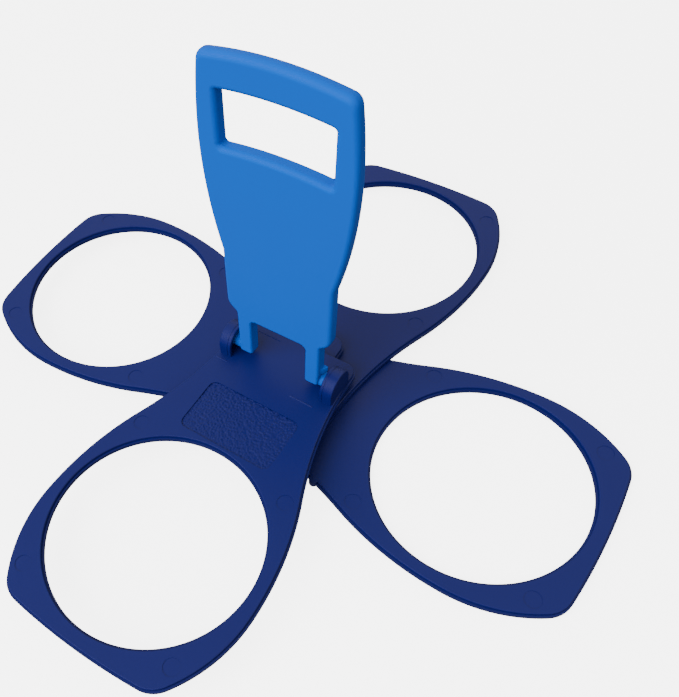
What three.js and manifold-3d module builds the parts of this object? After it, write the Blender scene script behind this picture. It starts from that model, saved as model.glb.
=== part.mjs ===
// Folding drink carrier for four cups.
// Four moulded ring plates are stacked on one pivot and fan out a quarter turn apart. A carry
// handle snaps into two cup lugs on the top plate and folds flat over the top ring.
// Millimetres, +Z up. The origin is on the pivot axis, at the underside of the bottom plate.

import * as THREE from 'three';
import { mergeVertices } from 'three/addons/utils/BufferGeometryUtils.js';
import Module from 'manifold-3d';

const wasm = await Module();
wasm.setup();

// Facets: the largest distance between a curve and its chords.
const facetTolerance = 0.06;

// Ring plates.
const ringHoleRadius = 40;
const ringOffset = 84.5; // pivot axis to ring centre
const ringSideWall = 5.1; // at the widest place
const ringEndWall = 5.5; // at the outer end, on the centre line
const widestPastCentre = 6.2; // the widest place lies beyond the ring's centre
const flankRadius = 120; // side, from the widest place towards the pivot
const cheekRadius = 58; // side, from the widest place towards the outer end
const endRadius = 262; // outer end
const endCorner = 11;
const neckEnd = 14.2; // pivot axis to the narrow end
const neckCorner = 5;
const plateThickness = 3.2;
const plateEdge = 0.5; // chamfer on every rim
const plateGap = 0.3;
const fanAngle = THREE.MathUtils.degToRad(90);

// Grip nib on the rim of the bottom plate.
const nibRadius = 1.8;
const nibFromPivot = 33;

// Textured panel, sunk into the top plate beside its ring.
const panelWidth = 40;
const panelLength = 23.5;
const panelToRing = 1.5;
const panelCorner = 3;
const panelDepth = 0.35;

// Stops that hold the fan open: a peg under each plate runs in a curved track in the next.
const pegRadius = 1.5;
const pegLength = 1.5;
const stopClearance = 0.3;
const trackWall = 1.2; // between the track and the cap's seat

// Pivot: a hollow post under the top plate, closed from below by a screwed cap.
const postRadius = 8;
const postClearance = 0.3;
const capRadius = 12.5;
const capThickness = 1.4;
const capSunk = 0.3; // below the underside of the bottom plate
const capClearance = 0.3;
const spigotRadius = 5;
const spigotLength = 3.8;
const screwRadius = 2;
const screwLength = 8.4;
const screwHeadRadius = 3.6;
const screwHeadHeight = 2.1;
const screwClearance = 0.3;

// Carry handle. Heights are measured from the hinge axis.
const handleThickness = 5.2;
const handleFront = 3.65; // hinge axis to the front face
const handleEdge = 1.4;
const handleLean = THREE.MathUtils.degToRad(2.8); // past upright, so that it stays up
const handleTop = 123.3;
const handleTopRadius = 131;
const handleTopCorner = 3.4;
const paddleFlare = 5.6; // widest place of the grip over the stem, on each side
const topToWidest = 30; // top of the grip down to its widest place
const stemTop = 50;
const shoulderHeight = 19.4; // where the legs begin
const shoulderStep = 4.2; // stem over leg, on each side
const shoulderCorner = 5.5;
const shoulderFillet = 2.5; // where the leg leaves the shoulder
const gripBar = 11.4; // above the hand slot
const slotHalfWidth = 19.6;
const slotHeight = 19.1;
const slotArch = 150; // radius of both long edges
const slotCorner = 1;
const legGapHalf = 11.9;
const legGapTop = 18.4;
const legGapCorner = 2.5;
const legWidth = 5.8;
const legDrop = 1.2; // leg below the hinge axis
const legCorner = 0.7;
const legEdge = 0.6;

// Hinge: trunnions on the legs turn in blind bores in two cup lugs.
const foldClearance = 0.8; // between the folded handle and the top plate
const trunnionRadius = 2.8;
const trunnionClearance = 0.3;
const boreDepth = 1.6;
const cupDepth = 2.2;
const cupRim = 1.1;
const cupFloor = 0.3; // above the top plate
const lugWall = 1.5;
const lugRadius = 6.85;
const lugAboveAxis = 6.3; // hinge axis to the top of the lug
const lugEdge = 0.4;
const lugGap = 2.5; // between a leg and its lug
const lugToPlateEdge = 0.2;
const tabFoot = 4; // snap tab on the outside of each leg, above the hinge axis
const tabHeight = 2.7;
const tabReach = 1.6; // past the side of the leg
const tabFront = 1.7;
const tabInset = 0.2; // from the back of the leg
const tabFlat = 0.7; // at the end of its ramp

// Sizes that follow from the ones above.
const pitch = plateThickness + plateGap;
const topLevel = 3 * pitch;
const legOuter = legGapHalf + legWidth;
const lugInner = legOuter + lugGap;
const lugOuter = lugInner + cupDepth + boreDepth + lugWall;
const neckHalfWidth = lugOuter + lugToPlateEdge;
const handleBack = handleThickness - handleFront; // hinge axis to the back face
const axisHeight = handleFront + foldClearance; // above the top plate
const paddleWidest = handleTop - topToWidest;
const seatRadius = capRadius + capClearance;
const seatDepth = capSunk + capThickness + capClearance;
const trackHalfWidth = pegRadius + stopClearance;
const trackRadius = seatRadius + trackWall + trackHalfWidth;
const trackDepth = pegLength - plateGap + stopClearance;
const stemHalfWidth = legOuter + shoulderStep;
const shoulderSwing = shoulderCorner + shoulderFillet;
const shoulderTurn = Math.acos(1 - shoulderStep / shoulderSwing);
const shoulderTop = shoulderHeight + shoulderSwing * Math.sin(shoulderTurn);

// Overlap of solids that are joined, and reach of cutters past the faces that they cut.
const joinOverlap = 1;
const cutReach = 2;

const navyPlastic = new THREE.MeshStandardMaterial({ color: 0x223876, roughness: 0.5, metalness: 0 });
const bluePlastic = new THREE.MeshStandardMaterial({ color: 0x2779cb, roughness: 0.42, metalness: 0 });
const zincSteel = new THREE.MeshStandardMaterial({ color: 0xb4b8bc, roughness: 0.35, metalness: 1 });

function solidOf(geometry) {
  const bare = geometry.clone();
  bare.deleteAttribute('normal');
  bare.deleteAttribute('uv');
  const merged = mergeVertices(bare);
  return new wasm.Manifold(new wasm.Mesh({
    numProp: 3,
    vertProperties: new Float32Array(merged.attributes.position.array),
    triVerts: new Uint32Array(merged.index.array),
  }));
}

function meshOf(name, solid, material) {
  const { vertProperties, triVerts } = solid.getMesh();
  const geometry = new THREE.BufferGeometry();
  geometry.setAttribute('position', new THREE.BufferAttribute(new Float32Array(vertProperties), 3));
  geometry.setIndex(new THREE.BufferAttribute(new Uint32Array(triVerts), 1));
  geometry.computeVertexNormals();
  const mesh = new THREE.Mesh(geometry, material);
  mesh.name = name;
  return mesh;
}

// Outlines in a plane.

function turnStep(radius) {
  return 2 * Math.acos(1 - facetTolerance / radius);
}

function arc(x, y, radius, from, to) {
  const count = Math.max(2, Math.ceil(Math.abs(to - from) / turnStep(radius)));
  return new THREE.EllipseCurve(x, y, radius, radius, from, to, to < from).getPoints(count);
}

function circle(x, y, radius) {
  return arc(x, y, radius, 0, 2 * Math.PI).slice(1);
}

function withoutRepeats(points) {
  const least = 1e-3;
  return points.filter((point, i) => point.distanceTo(points.at(i - 1)) > least);
}

// Closes a right half, given from its top to its bottom, by its mirror image. Counter-clockwise.
function mirrored(rightHalf) {
  const leftHalf = rightHalf.map((point) => new THREE.Vector2(-point.x, point.y)).reverse();
  return withoutRepeats([...rightHalf, ...leftHalf]).reverse();
}

function roundedRectangle(halfWidth, low, high, corner) {
  return withoutRepeats([
    ...arc(halfWidth - corner, high - corner, corner, Math.PI / 2, 0),
    ...arc(halfWidth - corner, low + corner, corner, 0, -Math.PI / 2),
    ...arc(-halfWidth + corner, low + corner, corner, -Math.PI / 2, -Math.PI),
    ...arc(-halfWidth + corner, high - corner, corner, Math.PI, Math.PI / 2),
  ]);
}

// The lower or upper point where two circles cross, given by centres and radii.
function crossing(a, radiusA, b, radiusB, below) {
  const along = b.clone().sub(a);
  const distance = along.length();
  along.normalize();
  const foot = (radiusA ** 2 - radiusB ** 2 + distance ** 2) / (2 * distance);
  const half = Math.sqrt(radiusA ** 2 - foot ** 2);
  const middle = a.clone().addScaledVector(along, foot);
  const across = new THREE.Vector2(-along.y, along.x);
  const pair = [half, -half].map((side) => middle.clone().addScaledVector(across, side));
  return pair.sort((p, q) => (below ? p.y - q.y : q.y - p.y))[0];
}

function bearing(centre, point) {
  return Math.atan2(point.y - centre.y, point.x - centre.x);
}

// The plate's own frame has the pivot at its origin and the ring towards -Y.
const plateHalfWidth = ringHoleRadius + ringSideWall;
const widestY = -ringOffset - widestPastCentre;
const flankCentre = new THREE.Vector2(plateHalfWidth - flankRadius, widestY);
const neckStart = neckEnd - neckCorner;
const flankReach = neckHalfWidth - flankCentre.x;
// The hollow neck arc starts upright at the narrow end and is tangent to the flank.
const neckRadius =
  (flankReach ** 2 + (neckStart - widestY) ** 2 - flankRadius ** 2) / (2 * (flankRadius - flankReach));
const neckCentre = new THREE.Vector2(neckHalfWidth + neckRadius, neckStart);

function plateOutline() {
  const cheekCentre = new THREE.Vector2(plateHalfWidth - cheekRadius, widestY);
  const endCentre = new THREE.Vector2(0, endRadius - ringOffset - ringHoleRadius - ringEndWall);
  const corner = crossing(
    cheekCentre, cheekRadius - endCorner, endCentre, endRadius - endCorner, true);
  const flankTurn = bearing(flankCentre, neckCentre);
  const cheekTurn = bearing(cheekCentre, corner);
  const endTurn = bearing(endCentre, corner);
  return mirrored([
    ...arc(neckHalfWidth - neckCorner, neckStart, neckCorner, Math.PI / 2, 0),
    ...arc(neckCentre.x, neckCentre.y, neckRadius, Math.PI, Math.PI + flankTurn),
    ...arc(flankCentre.x, flankCentre.y, flankRadius, flankTurn, 0),
    ...arc(cheekCentre.x, cheekCentre.y, cheekRadius, 0, cheekTurn),
    ...arc(corner.x, corner.y, endCorner, cheekTurn, endTurn),
    ...arc(endCentre.x, endCentre.y, endRadius, endTurn, -Math.PI / 2),
  ]);
}

function neckHalfWidthAt(y) {
  return neckCentre.x - Math.sqrt(neckRadius ** 2 - (y - neckStart) ** 2);
}

// Solids from outlines: z from 0 to the thickness, with broken edges where an edge size is given.

function slab(outline, thickness, { edge = 0, edgeSteps = 1, holes = [] } = {}) {
  const shape = new THREE.Shape(outline);
  shape.holes = holes.map((points) => new THREE.Path(points));
  const geometry = new THREE.ExtrudeGeometry(shape, {
    depth: thickness - 2 * edge,
    bevelEnabled: edge > 0,
    bevelThickness: edge,
    bevelSize: edge,
    bevelOffset: -edge,
    bevelSegments: edgeSteps,
    steps: 1,
  });
  return geometry.translate(0, 0, edge);
}

function upright(radius, low, high, x = 0, y = 0) {
  const sides = Math.ceil(2 * Math.PI / turnStep(radius));
  const geometry = new THREE.CylinderGeometry(radius, radius, high - low, sides);
  return solidOf(geometry.rotateX(Math.PI / 2).translate(x, y, (low + high) / 2));
}

function alongX(radius, low, high, z = 0) {
  const sides = Math.ceil(2 * Math.PI / turnStep(radius));
  const geometry = new THREE.CylinderGeometry(radius, radius, high - low, sides);
  return solidOf(geometry.rotateZ(Math.PI / 2).translate((low + high) / 2, 0, z));
}

// A profile drawn in the YZ plane and pushed along X.
function profileAlongX(outline, low, high, rounding = {}) {
  const toYZX = new THREE.Matrix4().makeBasis(
    new THREE.Vector3(0, 1, 0), new THREE.Vector3(0, 0, 1), new THREE.Vector3(1, 0, 0));
  return solidOf(slab(outline, high - low, rounding).applyMatrix4(toYZX).translate(low, 0, 0));
}

// A profile drawn as radius and height, turned about +Z.
function turned(profile, largestRadius) {
  const sides = Math.ceil(2 * Math.PI / turnStep(largestRadius));
  const points = profile.map(([radius, height]) => new THREE.Vector2(radius, height));
  return solidOf(new THREE.LatheGeometry([...points, points[0]], sides).rotateX(Math.PI / 2));
}

// The two ends of a span on one side of the middle plane, low end first.
function sideSpan(side, inner, outer) {
  return side > 0 ? [inner, outer] : [-outer, -inner];
}

// Ring plates.

function plateBlank() {
  const ringHole = circle(0, -ringOffset, ringHoleRadius);
  return solidOf(slab(plateOutline(), plateThickness, { edge: plateEdge, holes: [ringHole] }));
}

function pivotBore() {
  return upright(postRadius + postClearance, -cutReach, plateThickness + cutReach);
}

function stopPeg() {
  return upright(pegRadius, -pegLength, plateThickness / 2, 0, -trackRadius);
}

function stopTrack() {
  const from = -fanAngle;
  const outline = withoutRepeats([
    ...arc(0, 0, trackRadius + trackHalfWidth, from, 0),
    ...arc(trackRadius, 0, trackHalfWidth, 0, Math.PI),
    ...arc(0, 0, trackRadius - trackHalfWidth, 0, from),
    ...arc(trackRadius * Math.cos(from), trackRadius * Math.sin(from), trackHalfWidth,
      from + Math.PI, from + 2 * Math.PI),
  ]);
  const cutter = slab(outline, trackDepth + cutReach);
  return solidOf(cutter.translate(0, 0, plateThickness - trackDepth));
}

// A half round on straight sides, as the lugs and their cups are, seen along the hinge axis.
function archOutline(radius, axisZ, foot) {
  return [
    new THREE.Vector2(radius, foot),
    ...arc(0, axisZ, radius, 0, Math.PI),
    new THREE.Vector2(-radius, foot),
  ];
}

function cupLug(side) {
  const axisZ = plateThickness + axisHeight;
  const archZ = axisZ + lugAboveAxis - lugRadius;
  const body = archOutline(lugRadius, archZ, plateThickness - joinOverlap);
  const cup = archOutline(lugRadius - cupRim, archZ, plateThickness + cupFloor);
  const cupEnd = lugInner + cupDepth;
  const boreSpan = sideSpan(side, lugInner - cutReach, cupEnd + boreDepth);
  return profileAlongX(body, ...sideSpan(side, lugInner, lugOuter), { edge: lugEdge })
    .subtract(profileAlongX(cup, ...sideSpan(side, lugInner - cutReach, cupEnd)))
    .subtract(alongX(trunnionRadius + trunnionClearance, ...boreSpan, axisZ));
}

function hubPost() {
  return upright(postRadius, seatDepth - topLevel, plateThickness / 2);
}

// The post is hollow for the cap's spigot, and a pilot hole above it takes the screw.
function hubRecess() {
  const foot = seatDepth - topLevel;
  const screwTop = capSunk + capClearance + screwHeadHeight + screwLength - topLevel;
  return upright(spigotRadius + capClearance, foot - cutReach, foot + spigotLength)
    .add(upright(screwRadius + screwClearance, foot - cutReach, screwTop + screwClearance));
}

function texturedPanel() {
  const far = panelToRing + ringHoleRadius - ringOffset;
  const outline = roundedRectangle(panelWidth / 2, far, far + panelLength, panelCorner);
  const cutter = slab(outline, panelDepth + cutReach);
  return solidOf(cutter.translate(0, 0, plateThickness - panelDepth));
}

function topPlate() {
  return plateBlank()
    .add(cupLug(-1))
    .add(cupLug(1))
    .add(stopPeg())
    .add(hubPost())
    .subtract(hubRecess())
    .subtract(texturedPanel());
}

function middlePlate() {
  return plateBlank().subtract(pivotBore()).subtract(stopTrack()).add(stopPeg());
}

function bottomPlate() {
  const nib = upright(nibRadius, 0, plateThickness, -neckHalfWidthAt(-nibFromPivot), -nibFromPivot);
  return plateBlank()
    .add(nib)
    .subtract(pivotBore())
    .subtract(stopTrack())
    .subtract(upright(seatRadius, -cutReach, seatDepth));
}

// Pivot cap and screw, from the underside of the bottom plate upwards.

function pivotCap() {
  const top = capSunk + capThickness;
  const headRoom = capSunk + capClearance + screwHeadHeight + screwClearance;
  const screwHole = screwRadius + screwClearance;
  const headHole = screwHeadRadius + screwClearance;
  return turned([
    [headHole, capSunk],
    [capRadius, capSunk],
    [capRadius, top],
    [spigotRadius, top],
    [spigotRadius, top + spigotLength],
    [screwHole, top + spigotLength],
    [screwHole, headRoom],
    [headHole, headRoom],
  ], capRadius);
}

function pivotScrew() {
  const foot = capSunk + capClearance;
  const head = foot + screwHeadHeight;
  const tipLength = screwRadius;
  return turned([
    [0, foot],
    [screwHeadRadius, foot],
    [screwHeadRadius, head],
    [screwRadius, head],
    [screwRadius, head + screwLength - tipLength],
    [0, head + screwLength],
  ], screwHeadRadius);
}

// Carry handle, upright, with the hinge axis along X through its origin.

function handleOutline() {
  const widest = stemHalfWidth + paddleFlare;
  const rise = paddleWidest - stemTop;
  const sideRadius = (rise ** 2 + paddleFlare ** 2) / (2 * paddleFlare);
  const sideCentre = new THREE.Vector2(widest - sideRadius, paddleWidest);
  const topCentre = new THREE.Vector2(0, handleTop - handleTopRadius);
  const corner = crossing(
    topCentre, handleTopRadius - handleTopCorner, sideCentre, sideRadius - handleTopCorner, false);
  const topTurn = bearing(topCentre, corner);
  const sideTurn = bearing(sideCentre, corner);
  return mirrored([
    ...arc(topCentre.x, topCentre.y, handleTopRadius, Math.PI / 2, topTurn),
    ...arc(corner.x, corner.y, handleTopCorner, topTurn, sideTurn),
    ...arc(sideCentre.x, sideCentre.y, sideRadius, sideTurn, -Math.asin(rise / sideRadius)),
    ...arc(stemHalfWidth - shoulderCorner, shoulderTop, shoulderCorner, 0, -shoulderTurn),
    ...arc(legOuter + shoulderFillet, shoulderHeight, shoulderFillet, Math.PI - shoulderTurn, Math.PI),
    new THREE.Vector2(legOuter, -legDrop),
  ]);
}

// Both long edges of the hand slot arch upwards, like the top of the grip.
function handSlot() {
  const high = new THREE.Vector2(0, handleTop - gripBar - slotArch);
  const low = new THREE.Vector2(0, high.y - slotHeight);
  const side = slotHalfWidth - slotCorner;
  const highRise = Math.sqrt((slotArch - slotCorner) ** 2 - side ** 2);
  const lowRise = Math.sqrt((slotArch + slotCorner) ** 2 - side ** 2);
  const highCorner = new THREE.Vector2(side, high.y + highRise);
  const lowCorner = new THREE.Vector2(side, low.y + lowRise);
  const highTurn = bearing(high, highCorner);
  return mirrored([
    ...arc(high.x, high.y, slotArch, Math.PI / 2, highTurn),
    ...arc(highCorner.x, highCorner.y, slotCorner, highTurn, 0),
    ...arc(lowCorner.x, lowCorner.y, slotCorner, 0, bearing(lowCorner, low)),
    ...arc(low.x, low.y, slotArch, bearing(low, lowCorner), Math.PI / 2),
  ]);
}

// Turns a flat solid in X and height upright, with its back face behind the hinge axis.
function standing(geometry, back) {
  return solidOf(geometry.translate(0, 0, -back).rotateX(Math.PI / 2));
}

// A ramped tab just above the trunnion: it slides past the lug's rim as the handle is pressed in.
function snapTab(side) {
  const root = side * (legOuter - joinOverlap);
  const proud = side * (legOuter + tabReach);
  const tabBack = handleBack - tabInset;
  const outline = [
    new THREE.Vector2(root, -tabFront),
    new THREE.Vector2(side * legOuter, -tabFront),
    new THREE.Vector2(proud, tabBack - tabFlat),
    new THREE.Vector2(proud, tabBack),
    new THREE.Vector2(root, tabBack),
  ];
  return solidOf(slab(outline, tabHeight).translate(0, 0, tabFoot));
}

// The legs keep crisp edges: they run up into the rounded stem.
function leg(side) {
  const middle = (shoulderTop - legDrop) / 2;
  const outline = roundedRectangle(legWidth / 2, -legDrop - middle, shoulderTop - middle, legCorner);
  const blank = slab(outline, handleThickness, { edge: legEdge });
  return standing(blank.translate(side * (legGapHalf + legWidth / 2), middle, 0), handleBack);
}

// The trunnions run through the legs and stand out behind them as round knuckles.
function carryHandle() {
  const rounding = { edge: handleEdge, edgeSteps: 3 };
  const body = slab(handleOutline(), handleThickness, { ...rounding, holes: [handSlot()] });
  const gapFoot = -legDrop - cutReach - legGapCorner;
  const legGap = roundedRectangle(legGapHalf, gapFoot, legGapTop, legGapCorner);
  const gapDepth = handleThickness + 2 * cutReach;
  const trunnionEnd = lugInner + cupDepth + boreDepth - trunnionClearance;
  let handle = standing(body, handleBack).subtract(standing(slab(legGap, gapDepth), handleBack + cutReach));
  for (const side of [-1, 1]) {
    const trunnion = sideSpan(side, legGapHalf + legCorner, trunnionEnd);
    handle = handle.add(leg(side)).add(alongX(trunnionRadius, ...trunnion)).add(snapTab(side));
  }
  return handle;
}

// Assembly: each plate carries the next one down, a quarter turn further round.

const carrier = new THREE.Group();

const plates = [
  meshOf('top_plate', topPlate(), navyPlastic),
  meshOf('second_plate', middlePlate(), navyPlastic),
  meshOf('third_plate', middlePlate(), navyPlastic),
  meshOf('bottom_plate', bottomPlate(), navyPlastic),
];
plates.forEach((plate, i) => {
  plate.position.z = topLevel - i * pitch;
  plate.rotation.z = -i * fanAngle;
});

const handle = meshOf('carry_handle', carryHandle(), bluePlastic);
handle.position.z = topLevel + plateThickness + axisHeight;
handle.rotation.x = -handleLean;

carrier.add(
  ...plates,
  handle,
  meshOf('pivot_cap', pivotCap(), navyPlastic),
  meshOf('pivot_screw', pivotScrew(), zincSteel),
);

export default carrier;
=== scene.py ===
"""Folding drink carrier: its dressed pieces, finishes and studio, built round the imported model."""
import math

import bmesh
import bpy
from bpy.props import FloatProperty, FloatVectorProperty, PointerProperty
from mathutils import Matrix, Vector, noise


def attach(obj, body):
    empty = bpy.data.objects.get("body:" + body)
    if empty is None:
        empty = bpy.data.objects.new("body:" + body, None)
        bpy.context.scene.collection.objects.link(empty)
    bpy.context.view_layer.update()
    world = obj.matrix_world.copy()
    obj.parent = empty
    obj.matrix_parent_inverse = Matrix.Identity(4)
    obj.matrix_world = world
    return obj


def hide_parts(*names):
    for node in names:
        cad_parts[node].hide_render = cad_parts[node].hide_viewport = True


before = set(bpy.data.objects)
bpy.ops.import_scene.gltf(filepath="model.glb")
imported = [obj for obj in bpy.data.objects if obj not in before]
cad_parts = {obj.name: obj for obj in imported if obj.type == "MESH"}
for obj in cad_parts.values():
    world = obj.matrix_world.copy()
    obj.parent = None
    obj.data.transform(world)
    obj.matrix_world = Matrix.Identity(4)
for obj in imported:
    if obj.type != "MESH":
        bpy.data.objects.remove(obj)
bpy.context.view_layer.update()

bl_info = {
    "name": "Folding Drink Carrier",
    "version": (1, 0, 0),
    "blender": (4, 5, 0),
    "location": "View3D > Sidebar > Carrier",
    "description": "Builds the ring plates, handle and pivot of a folding drink carrier on its frame",
    "category": "Object",
}

MM = 0.001
CHORD = 1.1 * MM  # length of one straight step along a drawn arc
TINY = 0.001 * MM  # points that are closer than this are one
CLEARANCE = 0.3 * MM  # room between the post and what is fixed in it
OVERLAP = 1 * MM  # how far a cutter or a root reaches past the face that it meets
ROOT = 0.8 * MM  # how far lugs and the panel's bed sink into the plate
BED_REACH = 0.3 * MM  # how far the panel's bed reaches past its walls
STEPS_PER_PEBBLE = 5
PEBBLE_FOOT = 0.1  # share of a pebble's height that fills the valleys
PEBBLE_FLANK = 0.3  # lowest upward part of the normal of a pebble's face
GLOSS_CHANGE = 0.06  # how far the roughness of a moulded skin goes up and down
LATHE_STEPS = 72
QUARTER_TURN = math.radians(90)
RIM_ANGLE = math.radians(60)  # faces that meet more sharply than this form a rim
SMOOTH_ANGLE = math.radians(32)
TWIST_ANGLE = math.radians(0.05)  # a face that is bent more than this is split
LOWER_PLATES = ("second", "third", "bottom")  # bodies, from the top down
PIN_PLACES = ((32.6, -117.6), (32.4, -50.0))  # across and along a plate, in millimetres
INSERT_LINES = (  # start and end across the top plate, and place along it, in millimetres
    (9.6, 19.7, -10.7), (18.0, 22.0, 10.1), (-18.0, -7.5, 9.9), (-25.5, -20.5, -9.4))
Z_TO_X = Matrix.Rotation(QUARTER_TURN, 4, "Y")
XYZ_TO_YZX = Matrix(((0, 0, 1, 0), (1, 0, 0, 0), (0, 1, 0, 0), (0, 0, 0, 1)))  # stands a drawing up


def linear(colour):
    """An sRGB hex colour as linear red, green, blue and alpha."""
    parts = [int(colour[i:i + 2], 16) / 255 for i in (1, 3, 5)]
    return [p / 12.92 if p <= 0.04045 else ((p + 0.055) / 1.055) ** 2.4 for p in parts] + [1.0]


def length(name, description, millimetres):
    """A size that the user can change, in metres."""
    return FloatProperty(
        name=name, description=description, default=millimetres * MM, unit="LENGTH", precision=4)


def turn(name, description, degrees):
    """An angle that the user can change."""
    return FloatProperty(
        name=name, description=description, default=math.radians(degrees), unit="ROTATION")


def location(name, description, *millimetres):
    """A place that the user can change, in metres."""
    return FloatVectorProperty(
        name=name, description=description, default=[value * MM for value in millimetres],
        subtype="TRANSLATION", unit="LENGTH", precision=4)


def strength(name, description, value, unit="NONE"):
    """A strength of light that the user can change."""
    return FloatProperty(name=name, description=description, default=value, unit=unit)


def paint(name, description, colour):
    """A colour that the user can change."""
    return FloatVectorProperty(
        name=name, description=description, default=linear(colour), size=4, min=0, max=1, subtype="COLOR")


class CarrierPlateSizes(bpy.types.PropertyGroup):
    """Sizes that the four ring plates share, and those of the top plate's lugs, post and panel."""
    hole_radius: length("Ring hole radius", "Radius of the hole that a cup hangs in", 40)
    ring_offset: length("Ring offset", "From the pivot to the middle of a ring", 84.5)
    side_wall: length("Side wall", "Width of the ring beside its hole", 5.1)
    end_wall: length("End wall", "Width of the ring beyond its hole", 5.5)
    widest_past: length("Widest past", "How far past the ring's middle the plate is widest", 6.2)
    flank_radius: length("Flank radius", "Curve of the plate's long sides", 120)
    cheek_radius: length("Cheek radius", "Curve of the sides beyond the widest place", 58)
    end_radius: length("End radius", "Slow curve of the plate's far end", 262)
    end_corner: length("End corner", "Radius of the two far corners", 11)
    neck_half: length("Neck half width", "Half the width of the plate at the pivot", 25.7)
    neck_end: length("Neck end", "From the pivot to the plate's near end", 14.2)
    neck_corner: length("Neck corner", "Radius of the two near corners", 5)
    thickness: length("Thickness", "Thickness of a plate", 3.2)
    pitch: length("Pitch", "Height from one plate to the next", 3.5)
    rim: length("Rim", "Rounding of the plate's edges", 0.45)
    parting: length("Parting height", "Height of the parting line round the plate's walls", 2)
    parting_step: length("Parting step", "How far the walls stand out below the parting line", 0.45)
    parting_ledge: length("Parting ledge", "Width of the ledge at the parting line", 0.7)
    bore: length("Bore", "Radius of the hole for the pivot post", 8.3)
    post: length("Post", "Radius of the pivot post", 8)
    post_edge: length("Post edge", "Rounding of the pivot post's end", 0.3)
    track_radius: length("Track radius", "From the pivot to the middle of the stop track", 15.8)
    track_half: length("Track half width", "Half the width of the stop track", 1.8)
    track_depth: length("Track depth", "Depth of the stop track", 1.5)
    peg_radius: length("Peg radius", "Radius of the stop peg", 1.5)
    peg_length: length("Peg length", "How far the stop peg stands below its plate", 1.5)
    peg_edge: length("Peg edge", "Rounding of the stop peg's end", 0.2)
    seat_radius: length("Seat radius", "Radius of the seat for the pivot cap", 12.8)
    seat_depth: length("Seat depth", "Depth of the seat for the pivot cap", 2)
    panel_half: length("Panel half width", "Half the width of the grained panel", 20)
    panel_near: length("Panel near edge", "From the pivot to the near edge of the grained panel", 19.5)
    panel_far: length("Panel far edge", "From the pivot to the far edge of the grained panel", 43)
    panel_corner: length("Panel corner", "Radius of the panel's corners", 3)
    panel_depth: length("Panel depth", "How far the panel is sunk, to the foot of its pebbles", 0.65)
    pebble: length("Pebble", "Size of the pebbles of the grained panel", 0.95)
    pebble_height: length("Pebble height", "Height of the pebbles of the grained panel", 0.45)
    nib_radius: length("Nib radius", "Radius of the grip nib on the bottom plate", 1.8)
    nib_offset: length("Nib offset", "From the pivot to the grip nib along the plate", 33)
    nib_edge: length("Nib edge", "Rounding of the grip nib's edges", 0.315)
    lug_inner: length("Lug inner face", "From the middle of the carrier to the lug's inner face", 20.2)
    lug_outer: length("Lug outer face", "From the middle of the carrier to the lug's outer face", 25.5)
    lug_radius: length("Lug radius", "Radius of the lug's round top", 6.85)
    lug_rise: length("Lug rise", "Height of the lug above the top plate", 10.75)
    lug_edge: length("Lug edge", "Rounding of the lug's edges", 0.45)
    axis_height: length("Hinge height", "Height of the handle's hinge above the top plate", 4.45)
    cup_rim: length("Cup rim", "Wall round the hollow of a lug", 1.1)
    cup_depth: length("Cup depth", "Depth of the hollow of a lug", 2.2)
    cup_bore: length("Cup bore", "Radius of the trunnion's hole in a lug", 3.1)
    bore_depth: length("Bore depth", "Depth of the trunnion's hole in a lug", 1.6)
    witness_width: length("Witness line", "Width at the foot of the fine lines left by mould inserts", 1)
    witness_height: length("Witness height", "Height of the fine lines left by mould inserts", 0.17)
    lug_line: length("Lug line", "From the lug's inner face to the fine groove round it", 1.2)
    lug_line_width: length("Lug line width", "Width of the fine groove round a lug", 0.35)
    lug_line_depth: length("Lug line depth", "Depth of the fine groove round a lug", 0.15)
    pin_radius: length("Ejector pin", "Radius of the ejector pin marks", 3.1)
    pin_depth: length("Ejector pin depth", "Depth of the ejector pin marks", 0.15)


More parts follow.
